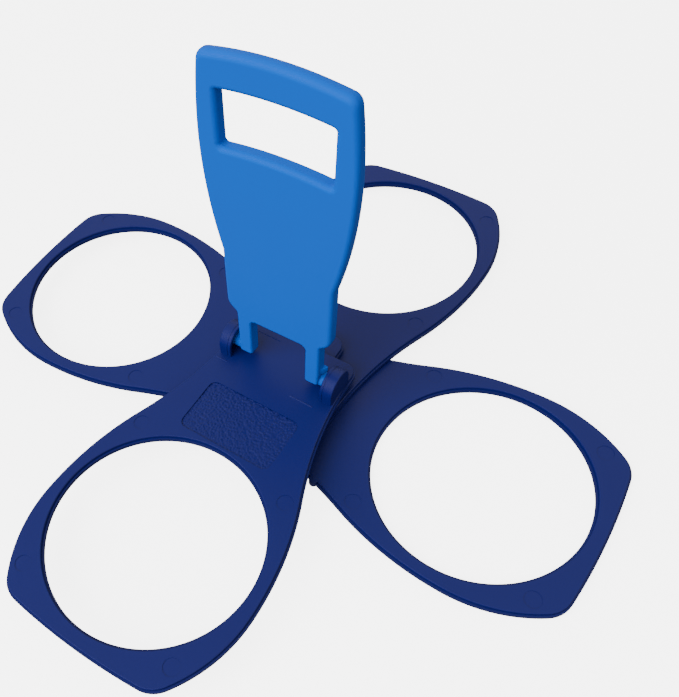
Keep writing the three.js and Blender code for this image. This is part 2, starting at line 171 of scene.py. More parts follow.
class CarrierHandleSizes(bpy.types.PropertyGroup):
    """Sizes of the carry handle, measured along it from its hinge."""
    thickness: length("Thickness", "Thickness of the handle", 5.2)
    front: length("Front", "From the hinge to the front face", 3.65)
    top_edge: length("Top edge", "Rounding of the top of the grip", 2.2)
    side_edge: length("Side edge", "Rounding of the handle's sides", 1.5)
    slot_edge: length("Slot edge", "Rounding of the hand slot, in front", 1.9)
    slot_back_edge: length("Slot back edge", "Rounding of the hand slot, behind", 1.1)
    leg_edge: length("Leg edge", "Rounding of the legs and the gap between them", 0.95)
    lean: turn("Lean", "How far the upright handle leans back", 2.8)
    top: length("Top", "From the hinge to the top of the grip", 123.3)
    top_radius: length("Top radius", "Slow curve of the top of the grip", 131)
    top_corner: length("Top corner", "Radius of the top corners", 3.4)
    stem_half: length("Stem half width", "Half the width of the handle above its shoulders", 21.9)
    stem_top: length("Stem top", "Where the sides begin to spread", 50)
    flare: length("Flare", "How far each side spreads", 5.6)
    widest: length("Widest", "From the hinge to the widest place", 93.3)
    shoulder: length("Shoulder", "Height where the legs begin", 19.4)
    shoulder_corner: length("Shoulder corner", "Radius of the shoulders", 5.5)
    shoulder_fillet: length("Shoulder fillet", "Radius between shoulder and leg", 2.5)
    grip_bar: length("Grip bar", "Height of the bar above the hand slot", 11.4)
    slot_half: length("Slot half width", "Half the width of the hand slot", 19.6)
    slot_height: length("Slot height", "Height of the hand slot", 19.1)
    slot_arch: length("Slot arch", "Curve of the slot's long edges", 150)
    slot_corner: length("Slot corner", "Radius of the slot's corners", 1)
    leg_outer: length("Leg outer side", "From the middle to the outer side of a leg", 17.7)
    gap_half: length("Gap half width", "Half the gap between the legs", 11.9)
    gap_top: length("Gap top", "Height of the gap between the legs", 18.4)
    gap_corner: length("Gap corner", "Radius of the gap's corners", 2.5)
    leg_drop: length("Leg drop", "How far the legs reach below the hinge", 1.2)
    leg_corner: length("Leg corner", "Radius of the legs' lower corners", 1.2)
    trunnion: length("Trunnion radius", "Radius of the trunnions", 2.8)
    trunnion_end: length("Trunnion end", "From the middle to the end of a trunnion", 23.7)
    trunnion_edge: length("Trunnion edge", "Rounding of the trunnions' ends", 0.3)
    tab_foot: length("Tab foot", "From the hinge to the foot of a snap tab", 4)
    tab_height: length("Tab height", "Height of a snap tab", 2.7)
    tab_reach: length("Tab reach", "How far a snap tab stands out from its leg", 1.6)
    tab_front: length("Tab front", "From the hinge to the front of a snap tab", 1.7)
    tab_inset: length("Tab inset", "From the back of the leg to the back of a snap tab", 0.2)
    tab_flat: length("Tab flat", "Flat at the end of a snap tab's ramp", 0.7)
    tab_edge: length("Tab edge", "Rounding of a snap tab's edges", 0.25)


class CarrierPivotSizes(bpy.types.PropertyGroup):
    """Sizes of the cap and screw that close the pivot from below."""
    cap_radius: length("Cap radius", "Radius of the pivot cap", 12.5)
    cap_sunk: length("Cap sunk", "How far the cap lies above the underside", 0.3)
    cap_thickness: length("Cap thickness", "Thickness of the cap's flange", 1.4)
    cap_edge: length("Cap edge", "Rounding of the cap's rim", 0.35)
    spigot: length("Spigot", "Radius of the cap's spigot", 5)
    spigot_length: length("Spigot length", "Length of the cap's spigot", 3.8)
    head_hole: length("Head hole", "Radius of the hole for the screw's head", 3.9)
    head_room: length("Head room", "Height of the shelf that the screw's head pulls on", 3)
    screw_hole: length("Screw hole", "Radius of the hole for the screw", 2.3)
    head_radius: length("Head radius", "Radius of the screw's head", 3.6)
    head_foot: length("Head foot", "Height of the head's outer face above the underside", 0.6)
    head_height: length("Head height", "Height of the screw's head", 2.1)
    head_edge: length("Head edge", "Rounding of the screw's head", 0.5)
    screw_radius: length("Screw radius", "Outer radius of the screw's thread", 2)
    screw_length: length("Screw length", "Length of the screw below its head", 8.4)
    drive_half: length("Drive half width", "Half the width of each arm of the cross recess", 0.45)
    drive_reach: length("Drive reach", "Length of each arm of the cross recess", 2)
    drive_depth: length("Drive depth", "Depth of the cross recess", 1.3)


class CarrierFinishes(bpy.types.PropertyGroup):
    """Colours of the mouldings and the screw."""
    navy: paint("Navy", "Colour of the ring plates", "#0a125b")
    navy_deep: paint("Deep navy", "Darker tone in the ring plates", "#091056")
    panel: paint("Panel", "Colour of the grained panel", "#091058")
    blue: paint("Blue", "Colour of the handle", "#0058c4")
    blue_deep: paint("Deep blue", "Darker tone in the handle", "#0054be")
    zinc: paint("Zinc", "Colour of the screw", "#b7babd")
    floor: paint("Floor", "Colour of the studio floor", "#f7f7f7")


class CarrierStudio(bpy.types.PropertyGroup):
    """Camera, floor and lights of the studio."""
    azimuth: turn("Azimuth", "Where the camera stands round the carrier", 43.37)
    elevation: turn("Elevation", "How steeply the camera looks down", 56.53)
    roll: turn("Roll", "How far the camera is turned about its own axis", -10.43)
    distance: length("Distance", "From the camera to the point that it looks at", 296.32)
    aim: location("Aim", "Point that the camera looks at", -8.45, -29.43, 13.7)
    lens: FloatProperty(name="Lens", description="Focal length in millimetres", default=40.03)
    shift: FloatVectorProperty(
        name="Shift", description="Camera shift, in parts of the long side", size=2,
        default=(0.1669, 0.0892))
    floor_half: length("Floor half side", "Half the side of the floor", 4000)
    floor_drop: length("Floor drop", "How far the floor lies below the carrier", 0.3)
    floor_glow: strength("Floor glow", "Light that the floor gives off itself", 5)
    ceiling_glow: strength("Ceiling glow", "Light from above", 0.75)
    room_glow: strength("Room glow", "Light from below the horizon", 0.2)
    lit_point: location("Lit point", "Point that the softboxes face", 0, 0, 30)
    key_place: location("Key place", "Where the key softbox hangs", -440, -1160, 1000)
    key_size: length("Key size", "Side of the key softbox", 1500)
    key_power: strength("Key power", "Power of the key softbox", 42, "POWER")
    back_place: location("Back place", "Where the back softbox hangs", -400, 1000, 100)
    back_size: length("Back size", "Side of the back softbox", 400)
    back_power: strength("Back power", "Power of the back softbox", 2.5, "POWER")


# Geometry: outlines are drawn flat as chains of runs and arcs, filled, and given their depth.

def crossing(a, radius_a, b, radius_b, below):
    """The lower or upper point where two circles cross."""
    a, b = Vector(a), Vector(b)
    apart = (b - a).length
    along = (apart ** 2 + radius_a ** 2 - radius_b ** 2) / (2 * apart)
    across = math.sqrt(radius_a ** 2 - along ** 2)
    way = (b - a) / apart
    middle = a + way * along
    side = Vector((-way.y, way.x)) * across
    pair = sorted((middle + side, middle - side), key=lambda point: point.y)
    return pair[0] if below else pair[1]


def bearing(centre, point):
    """Direction from one point to another, in degrees."""
    return math.degrees(math.atan2(point[1] - centre[1], point[0] - centre[0]))


def draw(bm, start, runs):
    """Draws a line from a start: (x, y) is a straight run, (x, y, degrees) an arc round that centre."""
    first = vert = bm.verts.new((*start, 0))
    for x, y, *angle in runs:
        if angle:
            sweep = math.radians(angle[0])
            radius = math.hypot(vert.co.x - x, vert.co.y - y)
            steps = max(4, math.ceil(radius * abs(sweep) / CHORD))
            spun = bmesh.ops.spin(
                bm, geom=[vert], cent=(x, y, 0), axis=(0, 0, 1), angle=sweep, steps=steps)
            vert = spun["geom_last"][0]
        else:
            vert = bmesh.ops.extrude_vert_indiv(bm, verts=[vert])["verts"][0]
            vert.co = (x, y, 0)
    return first, vert


def fill(bm, start, runs):
    """Draws a closed outline and fills it with one face."""
    first, last = draw(bm, start, runs)
    if (first.co - last.co).length < TINY:
        bmesh.ops.weld_verts(bm, targetmap={last: first})
    else:
        bmesh.ops.contextual_create(bm, geom=[first, last])
    bmesh.ops.edgeloop_fill(bm, edges=bm.edges[:])


def mirror_across(bm):
    """Adds the other half of a shape that is symmetrical about the YZ plane."""
    geom = bm.verts[:] + bm.edges[:] + bm.faces[:]
    bmesh.ops.mirror(bm, geom=geom, matrix=Matrix(), merge_dist=TINY, axis="X")


def face_out(bm):
    """Turns all faces outwards."""
    bmesh.ops.recalc_face_normals(bm, faces=bm.faces[:])


def extrude_all(bm):
    """Extrudes all faces as one, and gives the new vertices."""
    geom = bmesh.ops.extrude_face_region(bm, geom=bm.faces[:])["geom"]
    return [part for part in geom if isinstance(part, bmesh.types.BMVert)]


def thicken(bm, depth):
    """Pushes flat faces up into a solid."""
    bmesh.ops.translate(bm, vec=(0, 0, depth), verts=extrude_all(bm))
    face_out(bm)


def rims(bm):
    """The edges where a face turns sharply into a wall."""
    return [e for e in bm.edges if e.is_manifold and e.calc_face_angle() > RIM_ANGLE]


def soften(bm, edges, radius, segments=3):
    """Rounds edges."""
    bmesh.ops.bevel(
        bm, geom=edges, offset=radius, offset_type="OFFSET", affect="EDGES", segments=segments,
        profile=0.5, clamp_overlap=False, material=-1)


def move(bm, matrix):
    """Turns and moves a whole shape."""
    bmesh.ops.transform(bm, matrix=matrix, verts=bm.verts[:])


def other_side(bm):
    """The same shape for the left-hand side."""
    left = bm.copy()
    move(left, Matrix.Scale(-1, 4, (1, 0, 0)))
    face_out(left)
    return left


def lathe(start, runs):
    """Turns a line drawn as radius and height about +Z."""
    bm = bmesh.new()
    draw(bm, start, runs)
    move(bm, Matrix.Rotation(QUARTER_TURN, 4, "X"))
    bmesh.ops.spin(
        bm, geom=bm.verts[:] + bm.edges[:], cent=(0, 0, 0), axis=(0, 0, 1), angle=2 * math.pi,
        steps=LATHE_STEPS, use_merge=True)
    bmesh.ops.remove_doubles(bm, verts=bm.verts[:], dist=TINY)
    face_out(bm)
    return bm


def upright(radius, low, high, x=0.0, y=0.0, edge=0.0):
    """A short round peg or post standing along +Z."""
    bm = bmesh.new()
    middle = Matrix.Translation((x, y, (low + high) / 2))
    segments = max(24, math.ceil(2 * math.pi * radius / CHORD))
    bmesh.ops.create_cone(
        bm, cap_ends=True, segments=segments, radius1=radius, radius2=radius, depth=high - low,
        matrix=middle)
    if edge:
        soften(bm, rims(bm), edge, segments=2)
    return bm


def gather(name, *shapes):
    """Makes one object of several bmesh shapes."""
    mesh = bpy.data.meshes.new(name)
    whole = bmesh.new()
    for shape in shapes:
        shape.to_mesh(mesh)
        shape.free()
        whole.from_mesh(mesh)
    whole.to_mesh(mesh)
    whole.free()
    piece = bpy.data.objects.new(name, mesh)
    bpy.context.scene.collection.objects.link(piece)
    return piece


def settle(piece):
    """Applies a piece's modifiers to its mesh."""
    bpy.context.view_layer.update()
    shaped = piece.evaluated_get(bpy.context.evaluated_depsgraph_get())
    rough, piece.data = piece.data, bpy.data.meshes.new_from_object(shaped)
    piece.data.name = piece.name
    piece.modifiers.clear()
    bpy.data.meshes.remove(rough)


def combine(piece, tool, operation):
    """Joins a shape to a piece, or cuts it out of the piece, as a mould insert does."""
    change = piece.modifiers.new(operation, "BOOLEAN")
    change.operation = operation
    change.solver = "EXACT"
    change.object = tool
    settle(piece)
    used = tool.data
    bpy.data.objects.remove(tool)
    bpy.data.meshes.remove(used)


def finish_piece(piece, body, node, slot, *materials):
    """Shades a piece, gives it its finishes, ties it to the body that it stands for, and hides the CAD
    node that it replaces.
    """
    mesh = piece.data
    mesh.materials.clear()
    for material in materials:
        mesh.materials.append(material)
    mesh.shade_smooth()
    mesh.set_sharp_from_angle(angle=SMOOTH_ANGLE)
    normals = piece.modifiers.new("Flat faces stay flat", "WEIGHTED_NORMAL")
    normals.keep_sharp = True
    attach(piece, body)
    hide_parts(node)


# Finishes.

def add_node(tree, kind, inputs=None, **settings):
    """Adds a node, sets it up, and gives each input its value or the socket that feeds it."""
    node = tree.nodes.new(kind)
    for name, value in settings.items():
        setattr(node, name, value)
    for name, value in (inputs or {}).items():
        if isinstance(value, bpy.types.NodeSocket):
            tree.links.new(value, node.inputs[name])
        else:
            node.inputs[name].default_value = value
    return node


def per_metre(millimetres):
    """Texture scale that gives a pattern of this size."""
    return 1 / (millimetres * MM)


def start_material(name):
    """A new node material, its tree, and the Object coordinates that its patterns read."""
    material = bpy.data.materials.new(name)
    material.use_nodes = True
    tree = material.node_tree
    tree.nodes.clear()
    return material, tree, add_node(tree, "ShaderNodeTexCoord").outputs["Object"]


def plastic_skin(tree, tone, pattern, low, high, depth, sheen):
    """Closes a plastic's material: its fine pattern changes the roughness from low to high, and stands
    out by a depth in millimetres."""
    gloss = add_node(tree, "ShaderNodeMapRange", {
        "Value": pattern, "From Min": 0.3, "From Max": 0.7, "To Min": low, "To Max": high})
    relief = add_node(tree, "ShaderNodeBump", {
        "Height": pattern, "Strength": 1.0, "Distance": depth * MM})
    shader = add_node(tree, "ShaderNodeBsdfPrincipled", {
        "Base Color": tone, "Roughness": gloss.outputs["Result"], "IOR": 1.49,
        "Specular IOR Level": sheen, "Normal": relief.outputs["Normal"]})
    add_node(tree, "ShaderNodeOutputMaterial", {"Surface": shader.outputs["BSDF"]})


def moulded_polypropylene(name, light, deep, grain, depth, roughness, sheen):
    """Polypropylene from a spark-eroded mould: an even satin skin with a fine grain that changes its
    gloss, and slow changes of tone where the melt flowed."""
    material = bpy.data.materials.get(name)
    if material:
        return material
    material, tree, place = start_material(name)
    flow = add_node(tree, "ShaderNodeTexNoise", {
        "Vector": place, "Scale": per_metre(38), "Detail": 3.0, "Roughness": 0.55})
    tone = add_node(tree, "ShaderNodeMix", {0: flow.outputs["Fac"], 6: light, 7: deep}, data_type="RGBA")
    skin = add_node(tree, "ShaderNodeTexNoise", {
        "Vector": place, "Scale": per_metre(grain), "Detail": 2.0, "Roughness": 0.6})
    low, high = roughness - GLOSS_CHANGE, roughness + GLOSS_CHANGE
    plastic_skin(tree, tone.outputs[2], skin.outputs["Fac"], low, high, depth, sheen)
    return material


def pebbled_polypropylene(name, light, deep):
    """The same polypropylene on an etched mould insert: rounded pebbles under a millimetre across, which
    break up the gloss and look darker."""
    material, tree, place = start_material(name)
    grit = add_node(tree, "ShaderNodeTexNoise", {
        "Vector": place, "Scale": per_metre(0.45), "Detail": 2.0})
    tone = add_node(tree, "ShaderNodeMix", {0: grit.outputs["Fac"], 6: light, 7: deep}, data_type="RGBA")
    plastic_skin(tree, tone.outputs[2], grit.outputs["Fac"], low=0.36, high=0.5, depth=0.05, sheen=0.4)
    return material


def zinc_plated_steel(name, colour):
    """Bright zinc on turned steel: a soft metallic shine with fine rings left by the tool."""
    material, tree, place = start_material(name)
    ring_scale = per_metre(0.4) / 6.28  # a wave is a full turn of its phase
    rings = add_node(tree, "ShaderNodeTexWave", {
        "Vector": place, "Scale": ring_scale, "Distortion": 1.0, "Detail": 2.0},
        wave_type="RINGS", rings_direction="Z")
    blush = add_node(tree, "ShaderNodeTexNoise", {
        "Vector": place, "Scale": per_metre(1.5), "Detail": 3.0})
    gloss = add_node(tree, "ShaderNodeMapRange", {
        "Value": blush.outputs["Fac"], "To Min": 0.22, "To Max": 0.42})
    relief = add_node(tree, "ShaderNodeBump", {
        "Height": rings.outputs["Fac"], "Strength": 1.0, "Distance": 0.01 * MM})
    shader = add_node(tree, "ShaderNodeBsdfPrincipled", {
        "Base Color": colour, "Metallic": 1.0, "Roughness": gloss.outputs["Result"],
        "Normal": relief.outputs["Normal"]})
    add_node(tree, "ShaderNodeOutputMaterial", {"Surface": shader.outputs["BSDF"]})
    return material


def navy_finish():
    """Finish of the ring plates and the cap."""
    colours = bpy.context.scene.carrier_finishes
    return moulded_polypropylene(
        "navy_satin_polypropylene", colours.navy, colours.navy_deep,
        grain=0.55, depth=0.02, roughness=0.42, sheen=0.4)


# Ring plates.

def top_level(sizes):
    """Height of the top plate's underside."""
    return len(LOWER_PLATES) * sizes.pitch


def neck_curve(sizes):
    """Radius of the hollow sides of a plate's neck, which run on smoothly into its flanks."""
    reach = sizes.neck_half - sizes.hole_radius - sizes.side_wall + sizes.flank_radius
    along = sizes.neck_end - sizes.neck_corner + sizes.ring_offset + sizes.widest_past
    return (reach ** 2 + along ** 2 - sizes.flank_radius ** 2) / (2 * (sizes.flank_radius - reach))


def neck_half_at(sizes, y):
    """Half the width of a plate's neck at a distance along it."""
    radius = neck_curve(sizes)
    along = y - sizes.neck_end + sizes.neck_corner
    return sizes.neck_half + radius - math.sqrt(radius ** 2 - along ** 2)


def plate_runs(sizes):
    """The right half of a plate's outline below the parting line, where its walls stand out: from the
    middle of the neck round the ring to the near side of the hole."""
    half_width = sizes.hole_radius + sizes.side_wall
    far = sizes.ring_offset + sizes.hole_radius + sizes.end_wall
    widest = -sizes.ring_offset - sizes.widest_past
    neck_start = sizes.neck_end - sizes.neck_corner
    neck_side = sizes.neck_half - sizes.neck_corner
    flank = Vector((half_width - sizes.flank_radius, widest))
    neck = Vector((sizes.neck_half + neck_curve(sizes), neck_start))
    cheek = Vector((half_width - sizes.cheek_radius, widest))
    end = Vector((0, sizes.end_radius - far))
    corner = crossing(
        cheek, sizes.cheek_radius - sizes.end_corner, end, sizes.end_radius - sizes.end_corner, True)
    flank_turn = bearing(flank, neck)
    cheek_turn = bearing(cheek, corner)
    end_turn = bearing(end, corner)
    return [
        (neck_side, sizes.neck_end + sizes.parting_step),
        (neck_side, neck_start, -90),
        (*neck, flank_turn),
        (*flank, -flank_turn),
        (*cheek, cheek_turn),
        (*corner, end_turn - cheek_turn),
        (*end, -90 - end_turn),
        (0, -sizes.ring_offset - sizes.hole_radius + sizes.parting_step),
        (0, -sizes.ring_offset, 180),
    ]


def plate_blank(sizes, bore=0.0):
    """One ring plate, flat on its underside, with its ring towards -Y and its pivot at the origin. The
    wall below the parting line is drawn first, and the upper part is inset from it."""
    runs = plate_runs(sizes)
    if bore:
        runs += [(0, -bore), (0, 0, 180)]
    bm = bmesh.new()
    fill(bm, (0, sizes.neck_end + sizes.parting_step), runs)
    mirror_across(bm)
    thicken(bm, sizes.parting)
    upper = [f for f in bm.faces if f.normal.z > 0.5]
    for inwards, upwards in ((sizes.parting_ledge, 0), (0, sizes.thickness - sizes.parting)):
        bmesh.ops.inset_region(
            bm, faces=upper, thickness=inwards, depth=upwards, use_even_offset=True, use_boundary=True)
    middle = sizes.thickness / 2
    soften(bm, [e for e in rims(bm) if abs(abs(e.verts[0].co.z - middle) - middle) < TINY], sizes.rim)
    return bm


def stop_peg(sizes):
    """The peg under a plate that runs in the next plate's track."""
    root = sizes.thickness / 2
    return upright(sizes.peg_radius, -sizes.peg_length, root, y=-sizes.track_radius, edge=sizes.peg_edge)


def stop_track(sizes):
    """Cutter for the quarter-turn track of a stop peg."""
    bm = bmesh.new()
    radius, half = sizes.track_radius, sizes.track_half
    fill(bm, (0, -radius - half), [(0, 0, 90), (radius, 0, 180), (0, 0, -90), (0, -radius, 180)])
    thicken(bm, sizes.track_depth + OVERLAP)
    move(bm, Matrix.Translation((0, 0, sizes.thickness - sizes.track_depth)))
    return bm


def pin_marks(sizes):
    """Cutters for the shallow discs that ejector pins leave on a plate, on both sides of its ring."""
    low, high = sizes.thickness - sizes.pin_depth, sizes.thickness + sizes.rim
    return [
        upright(sizes.pin_radius, low, high, side * x * MM, y * MM)
        for x, y in PIN_PLACES for side in (-1, 1)]


def insert_marks(sizes):
    """The fine raised lines that the mould inserts leave beside the lugs."""
    half, height = sizes.witness_width / 2, sizes.witness_height
    shapes = []
    for start, end, y in INSERT_LINES:
        line = bmesh.new()
        fill(line, (-half, -height), [(0, height), (half, -height)])
        thicken(line, (end - start) * MM)
        move(line, Matrix.Translation((start * MM, y * MM, sizes.thickness)) @ XYZ_TO_YZX)
        shapes.append(line)
    return shapes


def cup_lug(sizes):
    """The right-hand lug: a half round on straight sides with a hollow inner side and a fine groove."""
    bm = bmesh.new()
    axis = Vector((0, sizes.thickness + sizes.axis_height, 0))
    radius = sizes.lug_radius
    arch = sizes.thickness + sizes.lug_rise - radius
    foot = sizes.thickness - ROOT
    fill(bm, (radius, foot), [(radius, arch), (0, arch, 180), (-radius, foot)])
    thicken(bm, sizes.lug_outer - sizes.lug_inner)
    inner = min(bm.faces, key=lambda f: f.calc_center_median().z)
    outside = rims(bm)
    bmesh.ops.inset_region(
        bm, faces=[inner], thickness=sizes.cup_rim, depth=0, use_even_offset=True, use_boundary=True)
    inner = bmesh.ops.extrude_discrete_faces(bm, faces=[inner])["faces"][0]
    bmesh.ops.translate(bm, vec=(0, 0, sizes.cup_depth), verts=inner.verts[:])
    face_out(bm)
    soften(bm, [e for e in outside if e.is_valid], sizes.lug_edge)
    groove = (sizes.lug_line, sizes.lug_line + sizes.lug_line_width)
    for depth in groove:
        geom = bm.verts[:] + bm.edges[:] + bm.faces[:]
        bmesh.ops.bisect_plane(bm, geom=geom, plane_co=(0, 0, depth), plane_no=(0, 0, 1))
    outer = []
    for face in bm.faces:
        middle = face.calc_center_median()
        if groove[0] < middle.z < groove[1] and face.normal.dot(middle - axis) > 0:
            outer.append(face)
    bmesh.ops.inset_region(bm, faces=outer, thickness=0, depth=-sizes.lug_line_depth, use_boundary=True)
    bmesh.ops.connect_verts_nonplanar(bm, angle_limit=TWIST_ANGLE, faces=bm.faces[:])
    move(bm, Matrix.Translation((sizes.lug_inner, 0, 0)) @ XYZ_TO_YZX)
    face_out(bm)
    return bm


def lug_bore(sizes):
    """Cutter for the blind hole that the right-hand trunnion turns in."""
    start = sizes.lug_inner + sizes.cup_depth
    bm = upright(sizes.cup_bore, start - OVERLAP, start + sizes.bore_depth)
    move(bm, Matrix.Translation((0, 0, sizes.thickness + sizes.axis_height)) @ Z_TO_X)
    return bm


def post_hollow(sizes, pivot):
    """Cutter for the cap's socket and the screw's hole in the pivot post."""
    level = top_level(sizes)
    foot = sizes.seat_depth - level
    start, shelf = foot - OVERLAP, foot + pivot.spigot_length
    wide, pilot = pivot.spigot + CLEARANCE, pivot.screw_hole
    tip = pivot.head_foot + pivot.head_height + pivot.screw_length + CLEARANCE - level
    return lathe((0, start), [(wide, start), (wide, shelf), (pilot, shelf), (pilot, tip), (0, tip)])


def panel_cutter(sizes):
    """Cutter for the sunk panel."""
    bm = bmesh.new()
    half, corner = sizes.panel_half, sizes.panel_corner
    far, near = -sizes.panel_far, -sizes.panel_near
    fill(bm, (0, far), [
        (half - corner, far), (half - corner, far + corner, 90),
        (half, near - corner), (half - corner, near - corner, 90), (0, near)])
    mirror_across(bm)
    thicken(bm, sizes.panel_depth + OVERLAP / 2)
    move(bm, Matrix.Translation((0, 0, sizes.thickness - sizes.panel_depth)))
    return bm


def panel_grain(sizes):
    """The panel's pebbled floor as a relief of rounded bumps, on a bed that sinks into the plate."""
    bm = bmesh.new()
    half = Vector((sizes.panel_half, (sizes.panel_far - sizes.panel_near) / 2))
    half += Vector((BED_REACH, BED_REACH))
    across, along = (math.ceil(2 * side / sizes.pebble * STEPS_PER_PEBBLE) for side in half)
    bmesh.ops.create_grid(bm, x_segments=across, y_segments=along, size=1)
    bmesh.ops.scale(bm, vec=(half.x, half.y, 1), verts=bm.verts[:])
    floor = sizes.thickness - sizes.panel_depth
    middle = (0, -(sizes.panel_far + sizes.panel_near) / 2, floor)
    bmesh.ops.translate(bm, vec=middle, verts=bm.verts[:])
    for vert in bm.verts:
        nearest = noise.voronoi(vert.co / sizes.pebble)[0][0]
        vert.co.z += sizes.pebble_height * max(PEBBLE_FOOT, 1 - nearest)
    bed = extrude_all(bm)
    bmesh.ops.scale(bm, vec=(1, 1, 0), verts=bed)
    bmesh.ops.translate(bm, vec=(0, 0, floor - ROOT), verts=bed)
    face_out(bm)
    return bm


class CARRIER_OT_top_plate(bpy.types.Operator):
    """Builds the top ring plate with its lugs, pivot post and grained panel"""
    bl_idname = "carrier.top_plate"
    bl_label = "Top Ring Plate"
    bl_options = {"REGISTER", "UNDO"}

    def execute(self, context):
        sizes = context.scene.carrier_plates
        pivot = context.scene.carrier_pivot
        colours = context.scene.carrier_finishes
        level = top_level(sizes)
        plate = gather("top_ring_plate", plate_blank(sizes))
        lug, bore = cup_lug(sizes), lug_bore(sizes)
        post = upright(sizes.post, sizes.seat_depth - level, sizes.thickness / 2, edge=sizes.post_edge)
        combine(plate, gather("fittings", other_side(lug), lug, post, stop_peg(sizes)), "UNION")
        hollows = [post_hollow(sizes, pivot), panel_cutter(sizes), other_side(bore), bore]
        combine(plate, gather("hollows", *hollows), "DIFFERENCE")
        combine(plate, gather("pins", *pin_marks(sizes)), "DIFFERENCE")
        combine(plate, gather("inserts", *insert_marks(sizes)), "UNION")
        combine(plate, gather("grain", panel_grain(sizes)), "UNION")
        grain = pebbled_polypropylene("navy_pebbled_polypropylene", colours.panel, colours.navy_deep)
        finish_piece(plate, "top", "top_plate", "navy_plastic", navy_finish(), grain)
        floor = sizes.thickness - sizes.panel_depth
        for face in plate.data.polygons:
            x, y, z = face.center
            in_panel = abs(x) < sizes.panel_half and -sizes.panel_far < y < -sizes.panel_near
            in_relief = TINY < z - floor < sizes.pebble_height + TINY
            if in_panel and in_relief and face.normal.z > PEBBLE_FLANK:
                face.material_index = 1
        plate.data.transform(Matrix.Translation((0, 0, level)))
        return {"FINISHED"}


class CARRIER_OT_ring_plates(bpy.types.Operator):
    """Builds the three lower ring plates, each a quarter turn further round and one step lower"""
    bl_idname = "carrier.ring_plates"
    bl_label = "Ring Plates"
    bl_options = {"REGISTER", "UNDO"}

    def execute(self, context):
        sizes = context.scene.carrier_plates
        for step, body in enumerate(LOWER_PLATES, 1):
            plate = gather(body + "_ring_plate", plate_blank(sizes, sizes.bore))
            if body == "bottom":
                y = -sizes.nib_offset
                x = -neck_half_at(sizes, y)
                nib = upright(sizes.nib_radius, 0, sizes.thickness, x, y, sizes.nib_edge)
                combine(plate, gather("nib", nib), "UNION")
                seat = upright(sizes.seat_radius, -OVERLAP, sizes.seat_depth)
                combine(plate, gather("seat", seat), "DIFFERENCE")
            else:
                combine(plate, gather("peg", stop_peg(sizes)), "UNION")
            combine(plate, gather("marks", stop_track(sizes), *pin_marks(sizes)), "DIFFERENCE")
            finish_piece(plate, body, body + "_plate", "navy_plastic", navy_finish())
            place = Matrix.Translation((0, 0, top_level(sizes) - step * sizes.pitch))
            plate.data.transform(place @ Matrix.Rotation(-QUARTER_TURN * step, 4, "Z"))
        return {"FINISHED"}


# Carry handle.

def shoulder_arcs(sizes):
    """Sweep of the two arcs that lead from the stem in to a leg, and the height where they begin."""
    reach = sizes.shoulder_corner + sizes.shoulder_fillet
    sweep = math.acos(1 - (sizes.stem_half - sizes.leg_outer) / reach)
    return sweep, sizes.shoulder + reach * math.sin(sweep)


def side_runs(sizes):
    """The handle's right half, from the middle of its top to the middle of the gap between its legs."""
    rise = sizes.widest - sizes.stem_top
    side_radius = (rise ** 2 + sizes.flare ** 2) / (2 * sizes.flare)
    side = Vector((sizes.stem_half + sizes.flare - side_radius, sizes.widest))
    top = Vector((0, sizes.top - sizes.top_radius))
    corner = crossing(
        top, sizes.top_radius - sizes.top_corner, side, side_radius - sizes.top_corner, False)
    top_turn, side_turn = bearing(top, corner), bearing(side, corner)
    side_end = -math.degrees(math.asin(rise / side_radius))
    sweep, turn_in = shoulder_arcs(sizes)
    sweep = math.degrees(sweep)
    stem, leg, drop, toe = sizes.stem_half, sizes.leg_outer, -sizes.leg_drop, sizes.leg_corner
    gap, gap_top, gap_corner = sizes.gap_half, sizes.gap_top, sizes.gap_corner
    return [
        (*top, top_turn - 90),
        (*corner, side_turn - top_turn),
        (*side, side_end - side_turn),
        (stem, turn_in),
        (stem - sizes.shoulder_corner, turn_in, -sweep),
        (leg + sizes.shoulder_fillet, sizes.shoulder, sweep),
        (leg, drop + toe),
        (leg - toe, drop + toe, -90),
        (gap + toe, drop),
        (gap + toe, drop + toe, -90),
        (gap, gap_top - gap_corner),
        (gap - gap_corner, gap_top - gap_corner, 90),
        (0, gap_top),
    ]


def slot_centres(sizes):
    """Centres of the hand slot's upper curve and right corner, and of its lower curve and corner."""
    high = Vector((0, sizes.top - sizes.grip_bar - sizes.slot_arch))
    low = Vector((0, high.y - sizes.slot_height))
    end = sizes.slot_half - sizes.slot_corner
    inside, outside = sizes.slot_arch - sizes.slot_corner, sizes.slot_arch + sizes.slot_corner
    high_corner = Vector((end, high.y + math.sqrt(inside ** 2 - end ** 2)))
    low_corner = Vector((end, low.y + math.sqrt(outside ** 2 - end ** 2)))
    return high, high_corner, low, low_corner


def slot_runs(sizes):
    """The hand slot's right half, from the middle of its lower edge to the middle of its upper edge."""
    high, high_corner, low, low_corner = slot_centres(sizes)
    high_turn, low_turn = bearing(high, high_corner), bearing(low, low_corner)
    return [
        (0, low.y + sizes.slot_arch),
        (*low, low_turn - 90),
        (*low_corner, 180 - low_turn),
        (sizes.slot_half, high_corner.y),
        (*high_corner, high_turn),
        (*high, 90 - high_turn),
    ]


